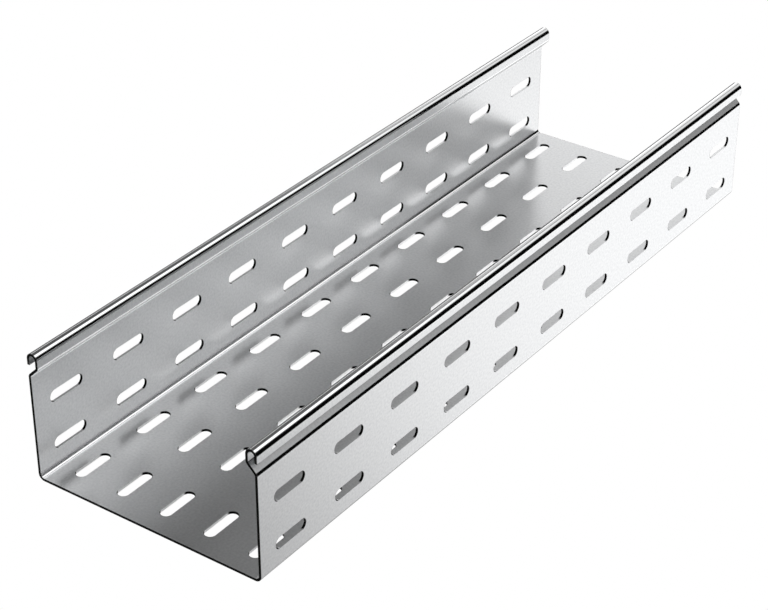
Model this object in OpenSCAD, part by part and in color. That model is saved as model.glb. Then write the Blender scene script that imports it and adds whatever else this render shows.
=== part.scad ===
// Perforated cable tray: one roll-formed length of galvanised sheet steel, in millimetres.
// X runs along the tray, Y across it and Z up; the origin is the middle of the floor's underside.

/* [Sheet] */
// Thickness of the steel sheet
sheet = 1.5; // [0.8:0.1:2]

/* [Channel] */
// Length of the tray
tray_length = 500; // [200:10:3000]
// Clear width between the walls
inner_width = 150; // [100:10:600]
// Clear depth from the floor to the top of the rims
inner_depth = 80; // [50:5:150]
// Inside radius of the bends between the floor and the walls
corner_radius = 2.4; // [0.5:0.1:5]

/* [Rim] */
// How far the upright of the rim is set in from the wall
rim_inset = 5.7; // [4:0.1:9]
// Angle that the step between wall and rim leans inward from the vertical
step_angle = 45; // [30:1:65]
// Inside radius of the two bends of the step
step_radius = 1.5; // [0.4:0.1:1.6]
// Straight height of the rim's upright between the step and the roll
riser_height = 4.2; // [2:0.1:9]
// Straight length of the lip that hangs from the roll
lip_length = 4; // [1:0.1:7]

/* [Slots] */
// Length of a slot, end to end
slot_length = 25; // [10:1:45]
// Width of a slot
slot_width = 7; // [4:0.5:14]
// Distance between slots along the tray
slot_pitch = 50; // [30:1:120]
// Distance between rows of slots
row_pitch = 30; // [16:1:60]
// Height of the lower wall row above the floor, and the least distance from a floor row to a wall
edge_to_row = 14.7; // [10:0.1:25]

/* [Hidden] */
$fn = 96;
steel_colour = [0.74, 0.75, 0.76];

// The roll's lip hangs flush with the wall, so the roll spans the rim's inset.
roll_radius = (rim_inset - sheet) / 2;

// Both bends of the step together, measured on the outer face of the sheet.
step_bends = 2 * step_radius + sheet;
step_flat = (rim_inset - step_bends * (1 - cos(step_angle))) / sin(step_angle);
step_rise = step_bends * sin(step_angle) + step_flat * cos(step_angle);

// Heights above the underside of the floor.
wall_foot = sheet + corner_radius;
roll_centre = inner_depth - roll_radius;
wall_top = roll_centre - riser_height - step_rise;

// Half of the section as the sheet is formed, from the middle of the floor to the free edge of the lip.
// Each run is [straight length, turn after it, inside radius of the turn]; a positive turn is inward.
section_runs = [
    [inner_width / 2 - corner_radius, 90, corner_radius],
    [wall_top - wall_foot, step_angle, step_radius],
    [step_flat, -step_angle, step_radius],
    [riser_height, -180, roll_radius],
    [lip_length, 0, 0]
];

// Slot places, each pattern centred or counted from the inside faces of the channel.
floor_row_count = floor((inner_width - 2 * edge_to_row) / row_pitch) + 1;
wall_row_count = floor((wall_top - slot_width / 2 - sheet - edge_to_row) / row_pitch) + 1;
slot_count = floor(tray_length / slot_pitch);
slot_places = [for (i = [0 : slot_count - 1]) (i - (slot_count - 1) / 2) * slot_pitch];
floor_rows = [for (i = [0 : floor_row_count - 1]) (i - (floor_row_count - 1) / 2) * row_pitch];
wall_rows = [for (i = [0 : wall_row_count - 1]) sheet + edge_to_row + i * row_pitch];

// Bends reach this far into the straight runs beside them, so that neighbours always fuse.
bend_overlap = 0.2;

// Cutters reach this far past both faces of the sheet.
cut_past = 1;

// How far the turning point of a bend lies from the outer face of the sheet
function bend_pivot(turn, radius) = turn > 0 ? sheet + radius : -radius;

// Round bend of the sheet, starting along +X with its outer face on the X axis.
// Its ends reach bend_overlap into the straight runs, trimmed flush with their faces on the inside of the bend.
module bend(turn, radius) {
    reach = 2 * (radius + sheet);
    trim_side = turn > 0 ? -radius : 0;
    translate([0, bend_pivot(turn, radius)]) intersection() {
        difference() {
            circle(r = radius + sheet);
            circle(r = radius);
            translate([-radius, trim_side]) square(radius);
            rotate(turn) translate([0, trim_side]) square(radius);
        }
        translate([-bend_overlap, -reach]) square([bend_overlap + reach, 2 * reach]);
        rotate(turn) translate([-reach, -reach]) square([reach + bend_overlap, 2 * reach]);
    }
}

// Runs of sheet one after another, each starting where the last bend ends
module formed_runs(runs, i = 0) {
    flat = runs[i][0];
    turn = runs[i][1];
    radius = runs[i][2];
    pivot = bend_pivot(turn, radius);
    square([flat, sheet]);
    if (i + 1 < len(runs)) translate([flat, 0]) {
        bend(turn, radius);
        translate([0, pivot]) rotate(turn) translate([0, -pivot]) formed_runs(runs, i + 1);
    }
}

// Floor, walls and rims as one bent sheet without its slots
module channel() {
    rotate([90, 0, 90]) linear_extrude(height = tray_length, center = true) {
        formed_runs(section_runs);
        mirror([1, 0]) formed_runs(section_runs);
    }
}

// Outline of one slot with round ends, lying along X
module slot_outline() {
    straight = slot_length - slot_width;
    square([straight, slot_width], center = true);
    for (end = [-1, 1]) translate([end * straight / 2, 0]) circle(d = slot_width);
}

// Cutter for one slot, from cut_past below the sheet to cut_past above it
module slot_cutter() {
    translate([0, 0, -cut_past]) linear_extrude(height = sheet + 2 * cut_past) slot_outline();
}

// Rows of slots through the floor
module floor_slots() {
    for (x = slot_places, y = floor_rows) translate([x, y, 0]) slot_cutter();
}

// Rows of slots through both walls
module wall_slots() {
    for (x = slot_places, z = wall_rows, side = [-1, 1])
        translate([x, side * (inner_width + sheet) / 2, z])
            rotate([90, 0, 0]) translate([0, 0, -sheet / 2]) slot_cutter();
}

// The whole tray, one piece of sheet
module tray() {
    color(steel_colour) difference() {
        channel();
        floor_slots();
        wall_slots();
    }
}

tray();
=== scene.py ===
# Perforated cable tray: one length of zinc-coated sheet steel, punched flat and then roll-formed.
from math import radians

import bpy
import numpy as np
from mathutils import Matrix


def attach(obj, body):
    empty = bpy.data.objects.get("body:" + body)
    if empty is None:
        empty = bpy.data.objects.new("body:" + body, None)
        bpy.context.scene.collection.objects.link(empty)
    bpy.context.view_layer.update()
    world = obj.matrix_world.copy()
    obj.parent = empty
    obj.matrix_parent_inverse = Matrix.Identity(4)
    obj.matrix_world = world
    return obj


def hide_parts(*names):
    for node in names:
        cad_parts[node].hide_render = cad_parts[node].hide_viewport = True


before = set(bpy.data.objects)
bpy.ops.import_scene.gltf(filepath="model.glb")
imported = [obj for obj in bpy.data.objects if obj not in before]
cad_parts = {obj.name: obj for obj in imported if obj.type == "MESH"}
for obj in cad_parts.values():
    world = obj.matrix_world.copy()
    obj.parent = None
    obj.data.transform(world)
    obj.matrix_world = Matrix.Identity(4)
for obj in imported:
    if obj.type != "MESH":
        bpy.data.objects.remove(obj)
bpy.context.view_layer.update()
scene = bpy.context.scene

# Camera
# It stands off the tray's near right corner with a long lens and looks down along it,
# so both walls, the floor and the outside of the right wall show.
camera_data = bpy.data.cameras.new("camera")
camera_data.sensor_width = 36.0
camera_data.lens = 102.257
camera = bpy.data.objects.new("camera", camera_data)
camera.location = (-0.91357, -0.63110, 0.69850)
camera.rotation_euler = (radians(58.281), radians(0.042), radians(-54.248))
scene.collection.objects.link(camera)
scene.camera = camera

# Tray
# One strip of 1.5 mm galvanised steel. It is punched flat with nine rows of slots, and rolls then bend it
# into a channel whose rims step in, rise and curl over outward. Sizes here are in millimetres.
MM = 0.001
SHEET = 1.5
TRAY_LENGTH = 500.0
INNER_WIDTH = 150.0
INNER_DEPTH = 80.0
CORNER_RADIUS = 2.4
RIM_INSET = 5.7
STEP_TURN = radians(45)
STEP_RADIUS = 1.5
RISER_HEIGHT = 4.2
LIP_LENGTH = 4.0
SLOT_LENGTH = 25.0
SLOT_WIDTH = 7.0
SLOT_PITCH = 50.0
ROW_PITCH = 30.0
EDGE_TO_ROW = 14.7

# Heights of the bends, from the rule that the curled lip hangs flush with the wall.
roll_radius = (RIM_INSET - SHEET) / 2
step_bends = 2 * STEP_RADIUS + SHEET
step_flat = (RIM_INSET - step_bends * (1 - np.cos(STEP_TURN))) / np.sin(STEP_TURN)
step_rise = step_bends * np.sin(STEP_TURN) + step_flat * np.cos(STEP_TURN)
wall_foot = SHEET + CORNER_RADIUS
wall_top = INNER_DEPTH - roll_radius - RISER_HEIGHT - step_rise

# Half of the section from the floor's middle to the lip: straight length, turn after it, inside radius.
section_runs = [
    (INNER_WIDTH / 2 - CORNER_RADIUS, np.pi / 2, CORNER_RADIUS),
    (wall_top - wall_foot, STEP_TURN, STEP_RADIUS),
    (step_flat, -STEP_TURN, STEP_RADIUS),
    (RISER_HEIGHT, -np.pi, roll_radius),
    (LIP_LENGTH, 0.0, 0.0),
]
outer_radii = [radius + SHEET if turn > 0 else radius for _, turn, radius in section_runs]
bend_lengths = [abs(run[1]) * outer for run, outer in zip(section_runs, outer_radii)]
run_ends = np.cumsum([run[0] + bend for run, bend in zip(section_runs, bend_lengths)])
half_blank = run_ends[-1]

# A corner this little before a run counts as on it, and one this close to a bend's end as outside the bend.
RUN_SLACK = 1e-9
BEND_SLACK = 1e-6


def formed(along, across, depth, flat_normal):
    """Points and normals of the formed sheet. A point of the flat blank lies along the tray, across from
    the floor's middle on the outer face, and at a depth from that face. Its distance across is walked along
    the section: a straight run goes on along its heading, and a bend swings about its pivot."""
    side = np.where(across < 0, -1.0, 1.0)
    walked = np.abs(across)
    place = np.zeros((len(walked), 2))
    heading = np.zeros(len(walked))
    start, angle, reached = np.zeros(2), 0.0, 0.0
    for (flat, turn, radius), bend_length in zip(section_runs, bend_lengths):
        ahead = np.array([np.cos(angle), np.sin(angle)])
        inward = np.array([-ahead[1], ahead[0]])
        on_run = walked >= reached - RUN_SLACK
        place[on_run] = start + np.outer(walked - reached, ahead)[on_run] + np.outer(depth, inward)[on_run]
        heading[on_run] = angle
        start, reached = start + flat * ahead, reached + flat
        if bend_length == 0:
            continue
        pivot_depth = SHEET + radius if turn > 0 else -radius
        pivot = start + pivot_depth * inward
        on_bend = walked >= reached
        swung = angle + turn * np.clip((walked[on_bend] - reached) / bend_length, 0, 1)
        arm = depth[on_bend] - pivot_depth
        place[on_bend] = pivot + np.stack([-np.sin(swung) * arm, np.cos(swung) * arm], 1)
        heading[on_bend] = swung
        angle, reached = angle + turn, reached + bend_length
        start = pivot - pivot_depth * np.array([-np.sin(angle), np.cos(angle)])
    rise, level = side * np.sin(heading), np.cos(heading)
    points = np.stack([along, side * place[:, 0], place[:, 1]], 1)
    normals = np.stack([
        flat_normal[:, 0],
        flat_normal[:, 1] * level - flat_normal[:, 2] * rise,
        flat_normal[:, 1] * rise + flat_normal[:, 2] * level,
    ], 1)
    return points, normals


# The flat blank is gathered as pieces of mesh: corners (along, across, depth), normals, cut mark and quads.
# Its two faces, outer and inner, are given as a depth and the way the face looks.
blank = {"corners": [], "normals": [], "cut": [], "quads": []}
sheet_faces = ((0.0, -1), (SHEET, 1))


def add_to_blank(corners, normals, cut, quads):
    """Adds one piece of mesh; its quads count from its own first corner."""
    first = sum(len(piece) for piece in blank["corners"])
    blank["corners"].append(corners)
    blank["normals"].append(normals)
    blank["cut"].append(cut)
    blank["quads"].append(quads + first)


def add_faces(flat_corners, quads):
    """Puts the same flat quads on the outer face, turned over, and on the inner face."""
    ones = np.ones((len(flat_corners), 1))
    for depth, looks in sheet_faces:
        add_to_blank(np.hstack([flat_corners, depth * ones]), np.hstack([0 * flat_corners, looks * ones]),
                     np.zeros(len(flat_corners)), quads[:, ::looks])


def ring_quads(rings, count):
    """Quads between neighbouring closed rings that have the same number of corners."""
    here = np.arange(rings - 1)[:, None] * count + np.arange(count)
    after = np.arange(rings - 1)[:, None] * count + np.roll(np.arange(count), -1)
    return np.stack([here, after, after + count, here + count], -1).reshape(-1, 4)


# Cut edges: steps of a quarter round, the narrow rim of face beside it, and how far an edge has to face along
# the tray before it begins to be painted near black, painted shade over bare steel, and is painted fully so.
ROUND_STEPS = 2
FACE_RIM = 0.20
CROSS_CUT_FROM = 0.10
CROSS_CUT_TO = 0.35


def add_cut_edge(loop, outward, outer_round, inner_round, hole):
    """Wraps a closed loop of sheet edge from the outer face to the inner one: a quarter round, the straight
    shear and a second quarter round. The loop lies on the cut itself, and outward points off the metal."""
    swing = np.linspace(0, np.pi / 2, ROUND_STEPS + 1)
    set_back = np.concatenate([[outer_round + FACE_RIM], outer_round * (1 - np.sin(swing)),
                               inner_round * (1 - np.cos(swing)), [inner_round + FACE_RIM]])
    depth = np.concatenate([[0], outer_round * (1 - np.cos(swing)),
                            SHEET - inner_round * (1 - np.sin(swing)), [SHEET]])
    off_metal = np.concatenate([[0], np.sin(swing), np.cos(swing), [0]])
    off_face = np.concatenate([[-1], -np.cos(swing), np.sin(swing), [1]])
    on_cut = np.concatenate([[0], np.ones(2 * len(swing)), [0]])
    corners = loop[None] - set_back[:, None, None] * outward[None]
    corners = np.concatenate([corners, np.broadcast_to(depth[:, None, None], corners.shape[:2] + (1,))], -1)
    unit = outward / np.linalg.norm(outward, axis=1, keepdims=True)
    normals = np.concatenate([off_metal[:, None, None] * unit[None],
                              np.broadcast_to(off_face[:, None, None], corners.shape[:2] + (1,))], -1)
    # The mark grows as an edge turns to face along the tray. Those edges are painted near black: painted
    # shade over bare cut steel.
    crosswise = np.clip((np.abs(unit[:, 0]) - CROSS_CUT_FROM) / (CROSS_CUT_TO - CROSS_CUT_FROM), 0, 1)
    cut = np.outer(on_cut, crosswise).ravel()
    quads = ring_quads(len(depth), len(loop))
    add_to_blank(corners.reshape(-1, 3), normals.reshape(-1, 3), cut, quads[:, ::-1] if hole else quads)


# Slots: the punch draws the inner face round and leaves the outer face crisper.
SLOT_OUTER_ROUND = 0.06
SLOT_INNER_ROUND = 0.12
END_ROUND = 0.06
ARC_STEPS = 6
STRAIGHT_STEPS = 4
half_straight = (SLOT_LENGTH - SLOT_WIDTH) / 2
slot_radius = SLOT_WIDTH / 2


def between(start, end, steps):
    """Evenly spaced values from start up to, but not including, end."""
    return np.linspace(start, end, steps, endpoint=False)


def rectangle_loop(along, across):
    """Corners round a rectangle of grid lines: along its low side, across at its far end, back along its
    high side and down again at its near end."""
    return np.concatenate([
        np.stack([along[:-1], np.full(len(along) - 1, across[0])], 1),
        np.stack([np.full(len(across) - 1, along[-1]), across[:-1]], 1),
        np.stack([along[:0:-1], np.full(len(along) - 1, across[-1])], 1),
        np.stack([np.full(len(across) - 1, along[0]), across[:0:-1]], 1),
    ])


# One slot's outline as a point on its axis and a direction, in step with the edge of the cell around it.
eighth = radians(45)
slot_turn = np.concatenate([
    between(5 * eighth, 6 * eighth, ARC_STEPS), np.full(STRAIGHT_STEPS, 6 * eighth),
    between(6 * eighth, 7 * eighth, ARC_STEPS), between(7 * eighth, 9 * eighth, 2 * ARC_STEPS),
    between(eighth, 2 * eighth, ARC_STEPS), np.full(STRAIGHT_STEPS, 2 * eighth),
    between(2 * eighth, 3 * eighth, ARC_STEPS), between(3 * eighth, 5 * eighth, 2 * ARC_STEPS),
])
slot_axis = np.concatenate([
    np.full(ARC_STEPS, -half_straight), between(-half_straight, half_straight, STRAIGHT_STEPS),
    np.full(4 * ARC_STEPS, half_straight), between(half_straight, -half_straight, STRAIGHT_STEPS),
    np.full(3 * ARC_STEPS, -half_straight),
])
slot_direction = np.stack([np.cos(slot_turn), np.sin(slot_turn)], 1)

# Rows of slots as (middle, low edge of the cell, high edge), counted across the blank.
wall_start = section_runs[0][0] + bend_lengths[0]
floor_edge = section_runs[0][0]
low_row = wall_start + EDGE_TO_ROW - CORNER_RADIUS
rows_out = [
    (ROW_PITCH, ROW_PITCH / 2, 1.5 * ROW_PITCH),
    (2 * ROW_PITCH, 1.5 * ROW_PITCH, floor_edge),
    (low_row, wall_start, low_row + ROW_PITCH / 2),
    (low_row + ROW_PITCH, low_row + ROW_PITCH / 2, low_row + 1.5 * ROW_PITCH),
]
slot_rows = [(0.0, -ROW_PITCH / 2, ROW_PITCH / 2)] + rows_out
slot_rows += [(-middle, -high, -low) for middle, low, high in rows_out]
slot_count = int(TRAY_LENGTH // SLOT_PITCH)
slot_places = (np.arange(slot_count) - (slot_count - 1) / 2) * SLOT_PITCH
END_INSET = END_ROUND + FACE_RIM
far_end = TRAY_LENGTH / 2 - END_INSET
near_end = -far_end

length_lines = []
for place in slot_places:
    cell_near = max(place - SLOT_PITCH / 2, near_end)
    cell_far = min(place + SLOT_PITCH / 2, far_end)
    cell_lines = np.concatenate([
        between(cell_near, place - half_straight, ARC_STEPS),
        between(place - half_straight, place + half_straight, STRAIGHT_STEPS),
        np.linspace(place + half_straight, cell_far, ARC_STEPS + 1),
    ])
    length_lines.append(cell_lines[:-1])
    for middle, low, high in slot_rows:
        row_lines = np.linspace(low, high, 2 * ARC_STEPS + 1)
        cell_edge = rectangle_loop(cell_lines, row_lines)
        slot_middle = np.stack([place + slot_axis, np.full(len(slot_axis), middle)], 1)
        count = len(slot_axis)
        for (depth, looks), round_off in zip(sheet_faces, (SLOT_OUTER_ROUND, SLOT_INNER_ROUND)):
            mouth = slot_middle + (slot_radius + round_off + FACE_RIM) * slot_direction
            corners = np.concatenate([cell_edge, mouth])
            corners = np.hstack([corners, np.full((2 * count, 1), depth)])
            normals = np.tile([0.0, 0.0, looks], (2 * count, 1))
            add_to_blank(corners, normals, np.zeros(2 * count), ring_quads(2, count)[:, ::looks])
        add_cut_edge(slot_middle + slot_radius * slot_direction, -slot_direction,
                     SLOT_OUTER_ROUND, SLOT_INNER_ROUND, hole=True)
length_lines = np.concatenate(length_lines + [[far_end]])

# Plain strips: the bends at the floor's edges, and each wall's top with its rim.
CORNER_STEPS = 10
STEP_BEND_STEPS = 6
ROLL_STEPS = 24
straight_ends = run_ends - bend_lengths
corner_lines = np.linspace(floor_edge, wall_start, CORNER_STEPS + 1)
rim_lines = np.concatenate([
    [low_row + 1.5 * ROW_PITCH],
    np.linspace(straight_ends[1], run_ends[1], STEP_BEND_STEPS + 1),
    np.linspace(straight_ends[2], run_ends[2], STEP_BEND_STEPS + 1),
    np.linspace(straight_ends[3], run_ends[3], ROLL_STEPS + 1),
    [half_blank - END_INSET],
])
for lines in (corner_lines, rim_lines, -corner_lines[::-1], -rim_lines[::-1]):
    along, across = np.meshgrid(length_lines, lines, indexing="ij")
    index = np.arange(along.size).reshape(along.shape)
    quads = np.stack([index[:-1, :-1], index[1:, :-1], index[1:, 1:], index[:-1, 1:]], -1).reshape(-1, 4)
    add_faces(np.stack([along.ravel(), across.ravel()], 1), quads)

# The blank's own edge: sheared ends and slit sides, round the whole strip.
LINE_DECIMALS = 6
row_cuts = [np.linspace(low, high, 2 * ARC_STEPS + 1) for _, low, high in slot_rows]
every_line = np.concatenate(row_cuts + [corner_lines, rim_lines, -corner_lines, -rim_lines])
width_lines = every_line[np.unique(np.round(every_line, LINE_DECIMALS), return_index=True)[1]]
strip_edge = rectangle_loop(length_lines, width_lines)
edge_outward = np.stack([
    np.where(np.isclose(np.abs(strip_edge[:, 0]), far_end), np.sign(strip_edge[:, 0]), 0.0),
    np.where(np.isclose(np.abs(strip_edge[:, 1]), half_blank - END_INSET), np.sign(strip_edge[:, 1]), 0.0),
], 1)
add_cut_edge(strip_edge + END_INSET * edge_outward, edge_outward, END_ROUND, END_ROUND, hole=False)

# Corners that fall together are welded, and the welded blank is formed.
WELD_DECIMALS = 4
corners = np.concatenate(blank["corners"])
rounded = np.round(corners, WELD_DECIMALS)
first_use, weld_index = np.unique(rounded, axis=0, return_index=True, return_inverse=True)[1:]
flat_corners = corners[first_use]
flat_normals = np.concatenate(blank["normals"])[first_use]
cut_marks = np.concatenate(blank["cut"])[first_use]
quads = weld_index.reshape(-1)[np.concatenate(blank["quads"])]
points, normals = formed(*flat_corners.T, flat_normals)

tray_mesh = bpy.data.meshes.new("cable_tray")
tray_mesh.vertices.add(len(points))
tray_mesh.vertices.foreach_set("co", (points * MM).astype(np.float32).ravel())
tray_mesh.loops.add(quads.size)
tray_mesh.loops.foreach_set("vertex_index", quads.astype(np.int32).ravel())
tray_mesh.polygons.add(len(quads))
tray_mesh.polygons.foreach_set("loop_start", np.arange(0, quads.size, 4, dtype=np.int32))
tray_mesh.polygons.foreach_set("use_smooth", np.ones(len(quads), bool))
tray_mesh.update(calc_edges=True)
sheet_map = tray_mesh.uv_layers.new(name="sheet")
sheet_map.data.foreach_set("uv", (flat_corners[quads.ravel(), :2] * MM).astype(np.float32).ravel())
cut_attribute = tray_mesh.attributes.new("cut_edge", "FLOAT", "POINT")
cut_attribute.data.foreach_set("value", cut_marks.astype(np.float32))
walked_out = np.abs(flat_corners[:, 1:2])
inside_bend = np.minimum(walked_out - straight_ends[:-1], run_ends[:-1] - walked_out).max(1) > BEND_SLACK
bend_attribute = tray_mesh.attributes.new("bend", "FLOAT", "POINT")
bend_attribute.data.foreach_set("value", inside_bend.astype(np.float32))
tray_mesh.normals_split_custom_set_from_vertices(normals)

# Zinc coat: satin metal with a fine grain and faint clouds drawn out along the rolling direction.
# The rolls burnish the bends, which are painted near white, partly as painted highlight. Edges that face
# along
# the tray are painted near black: painted shade over bare steel.
ZINC_DARK = (0.700, 0.710, 0.720, 1.0)
ZINC_LIGHT = (0.955, 0.960, 0.965, 1.0)
# Near-white colour on the bends: partly the rolls' burnish, partly painted highlight that brightens the lines
# on the bends.
BURNISH_AND_PAINTED_HIGHLIGHT = (0.985, 0.990, 0.995, 1.0)
# Near black for cut edges that face along the tray: painted shade over bare steel.
CUT_STEEL_AND_PAINTED_SHADE = (0.002, 0.002, 0.002, 1.0)
SMOOTHEST_ZINC = 0.277
ROUGHEST_ZINC = 0.297
BURNISHED_ROUGHNESS = 0.14
CUT_EDGE_ROUGHNESS = 0.55
GRAINS_PER_METRE = 680.0
GRAIN_STRETCH = 1.0
GRAIN_DETAIL = 1.0
CLOUDS_PER_METRE = 16.0
CLOUD_STRETCH = 0.5
CLOUD_DETAIL = 3.0
CLOUD_SHARE = 0.2
GRAIN_BUMP = 0.2
GRAIN_HEIGHT = 0.00001

zinc = bpy.data.materials.new("zinc_coat")
zinc.use_nodes = True
zinc_nodes, zinc_links = zinc.node_tree.nodes, zinc.node_tree.links
zinc_shader = zinc_nodes["Principled BSDF"]
zinc_shader.inputs["Metallic"].default_value = 1.0
sheet_place = zinc_nodes.new("ShaderNodeUVMap")
sheet_place.uv_map = "sheet"


def zinc_noise(per_metre, stretch, detail):
    """Noise on the flat sheet's own map, drawn out lengthwise by the inverse of the stretch."""
    mapping = zinc_nodes.new("ShaderNodeMapping")
    mapping.inputs["Scale"].default_value = (per_metre * stretch, per_metre, 1.0)
    zinc_links.new(sheet_place.outputs["UV"], mapping.inputs["Vector"])
    noise = zinc_nodes.new("ShaderNodeTexNoise")
    noise.noise_dimensions = "2D"
    noise.inputs["Scale"].default_value = 1.0
    noise.inputs["Detail"].default_value = detail
    zinc_links.new(mapping.outputs["Vector"], noise.inputs["Vector"])
    return noise.outputs["Fac"]


def zinc_mark(name):
    """One of the mesh's own marks, as a value from 0 to 1."""
    mark = zinc_nodes.new("ShaderNodeAttribute")
    mark.attribute_name = name
    return mark.outputs["Fac"]


def zinc_mix(kind, factor, first, second):
    """Mix node of numbers or colours; the two ends are plain values or outputs of other nodes."""
    mix = zinc_nodes.new("ShaderNodeMix")
    mix.data_type = kind
    sockets = [socket for socket in mix.inputs if socket.enabled]
    for socket, value in zip(sockets, (factor, first, second)):
        if isinstance(value, bpy.types.NodeSocket):
            zinc_links.new(value, socket)
        else:
            socket.default_value = value
    return [socket for socket in mix.outputs if socket.enabled][0]


grain = zinc_noise(GRAINS_PER_METRE, GRAIN_STRETCH, GRAIN_DETAIL)
clouds = zinc_noise(CLOUDS_PER_METRE, CLOUD_STRETCH, CLOUD_DETAIL)
# Mark of the cut edges that face along the tray, which are painted near black as painted shade.
cut_steel_and_shade = zinc_mark("cut_edge")
bend = zinc_mark("bend")
tone = zinc_mix("FLOAT", CLOUD_SHARE, grain, clouds)
flat_colour = zinc_mix("RGBA", tone, ZINC_DARK, ZINC_LIGHT)
# The bends are painted near white: burnish and painted highlight.
zinc_colour = zinc_mix("RGBA", bend, flat_colour, BURNISH_AND_PAINTED_HIGHLIGHT)
zinc_links.new(zinc_mix("RGBA", cut_steel_and_shade, zinc_colour, CUT_STEEL_AND_PAINTED_SHADE), zinc_shader.inputs["Base Color"])
rolled = zinc_mix("FLOAT", clouds, SMOOTHEST_ZINC, ROUGHEST_ZINC)
burnished = zinc_mix("FLOAT", bend, rolled, BURNISHED_ROUGHNESS)
zinc_links.new(zinc_mix("FLOAT", cut_steel_and_shade, burnished, CUT_EDGE_ROUGHNESS), zinc_shader.inputs["Roughness"])
grain_bump = zinc_nodes.new("ShaderNodeBump")
grain_bump.inputs["Strength"].default_value = GRAIN_BUMP
grain_bump.inputs["Distance"].default_value = GRAIN_HEIGHT
zinc_links.new(grain, grain_bump.inputs["Height"])
zinc_links.new(grain_bump.outputs["Normal"], zinc_shader.inputs["Normal"])
tray_mesh.materials.append(zinc)

tray = bpy.data.objects.new("cable_tray", tray_mesh)
scene.collection.objects.link(tray)
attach(tray, "root")
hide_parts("tray")

# Floor
# A wide white sheet just under the tray, lit from within so that it is evenly pale and takes no shade.
# The metal doesn't mirror it: all that shows in the zinc is the soft boxes and the tray itself.
FLOOR_HALF = 4.0
FLOOR_HEIGHT = -0.0003
floor_mesh = bpy.data.meshes.new("floor")
floor_signs = ((-1, -1), (1, -1), (1, 1), (-1, 1))
floor_corners = [(x * FLOOR_HALF, y * FLOOR_HALF, FLOOR_HEIGHT) for x, y in floor_signs]
floor_mesh.from_pydata(floor_corners, [], [(0, 1, 2, 3)])
floor = bpy.data.objects.new("floor", floor_mesh)
scene.collection.objects.link(floor)
paper = bpy.data.materials.new("floor")
paper.use_nodes = True
paper_shader = paper.node_tree.nodes["Principled BSDF"]
paper_shader.inputs["Base Color"].default_value = (0.0, 0.0, 0.0, 1.0)
paper_shader.inputs["Specular IOR Level"].default_value = 0.0
paper_shader.inputs["Emission Color"].default_value = (1.0, 1.0, 1.0, 1.0)
paper_shader.inputs["Emission Strength"].default_value = 1.0
floor.visible_glossy = False
floor.visible_diffuse = False
floor_mesh.materials.append(paper)

# Light
# A plain studio: soft boxes run lengthwise beside, above and below the tray and go on past its far end,
# with black gaps between them that draw the dark lines on the bends. Behind the camera the room is pale,
# with a darker skirting.

# Each box: from, to and soft edge in degrees round the tray's axis (0 is level to the left, 90 is up), then
# its strength beside the tray and past the far end, and the cosine to the axis where the one gives way.
soft_boxes = [
    (-147, -114, 6, 0.40, 1.41, 0.65),
    (-114, -43, 12, 0.41, 0.62, 0.70),
    (-43, 2, 7, 0.27, 0.27, 0.72),
    (22, 47, 7, 0.10, 1.58, 0.73),
    (24, 38, 4, 0.60, 0.00, 0.72),
    (47, 86, 7, 0.08, 0.84, 0.72),
    (95, 136, 8, 1.18, 0.70, 0.72),
]
PAST_END_SOFTNESS = 0.06
ROOM_LEVEL = 0.50
ROOM_TOP = 1.10
SKIRTING_MIDDLE = 0.06
SKIRTING_HALF = 0.09
SKIRTING_SHADE = 0.25
ROOM_ENDS_COSINE = -0.20
BOXES_START_COSINE = 0.30

world = bpy.data.worlds.new("studio")
scene.world = world
world.use_nodes = True
sky_nodes, sky_links = world.node_tree.nodes, world.node_tree.links


def sky_math(operation, *values):
    """One Math node; each value is a number or the output of another node."""
    node = sky_nodes.new("ShaderNodeMath")
    node.operation = operation
    for socket, value in zip(node.inputs, values):
        if isinstance(value, bpy.types.NodeSocket):
            sky_links.new(value, socket)
        else:
            socket.default_value = value
    return node.outputs["Value"]


def sky_step(value, low, high, at_low=0.0, at_high=1.0):
    """Smooth step from one level to another while the value goes from low to high."""
    node = sky_nodes.new("ShaderNodeMapRange")
    node.interpolation_type = "SMOOTHSTEP"
    sky_links.new(value, node.inputs["Value"])
    for name, level in (("From Min", low), ("From Max", high), ("To Min", at_low), ("To Max", at_high)):
        node.inputs[name].default_value = level
    return node.outputs["Result"]


direction = sky_nodes.new("ShaderNodeTexCoord")
axes = sky_nodes.new("ShaderNodeSeparateXYZ")
sky_links.new(direction.outputs["Generated"], axes.inputs["Vector"])
lengthwise, sideways, upward = axes.outputs
degrees_round = sky_math("DEGREES", sky_math("ARCTAN2", upward, sideways))
glow = 0.0
for low, high, edge, beside, past_end, cosine in soft_boxes:
    opened = sky_step(degrees_round, low - edge, low + edge)
    closed = sky_step(degrees_round, high - edge, high + edge, 1.0, 0.0)
    ramp = (cosine - PAST_END_SOFTNESS, cosine + PAST_END_SOFTNESS)
    strength = sky_step(lengthwise, *ramp, beside, past_end)
    glow = sky_math("MULTIPLY_ADD", sky_math("MULTIPLY", opened, closed), strength, glow)
pale = sky_step(upward, 0.0, 1.0, ROOM_LEVEL, ROOM_TOP)
off_skirting = sky_math("ABSOLUTE", sky_math("SUBTRACT", upward, SKIRTING_MIDDLE))
skirting = sky_step(off_skirting, SKIRTING_HALF, 2 * SKIRTING_HALF, SKIRTING_SHADE, 1.0)
room = sky_math("MULTIPLY", pale, skirting)
boxes_share = sky_step(lengthwise, ROOM_ENDS_COSINE, BOXES_START_COSINE)
boxes_part = sky_math("MULTIPLY", glow, boxes_share)
studio = sky_math("MULTIPLY_ADD", room, sky_math("SUBTRACT", 1.0, boxes_share), boxes_part)
sky_links.new(studio, sky_nodes["Background"].inputs["Color"])
scene.view_settings.view_transform = "Standard"
scene.cycles.use_denoising = True
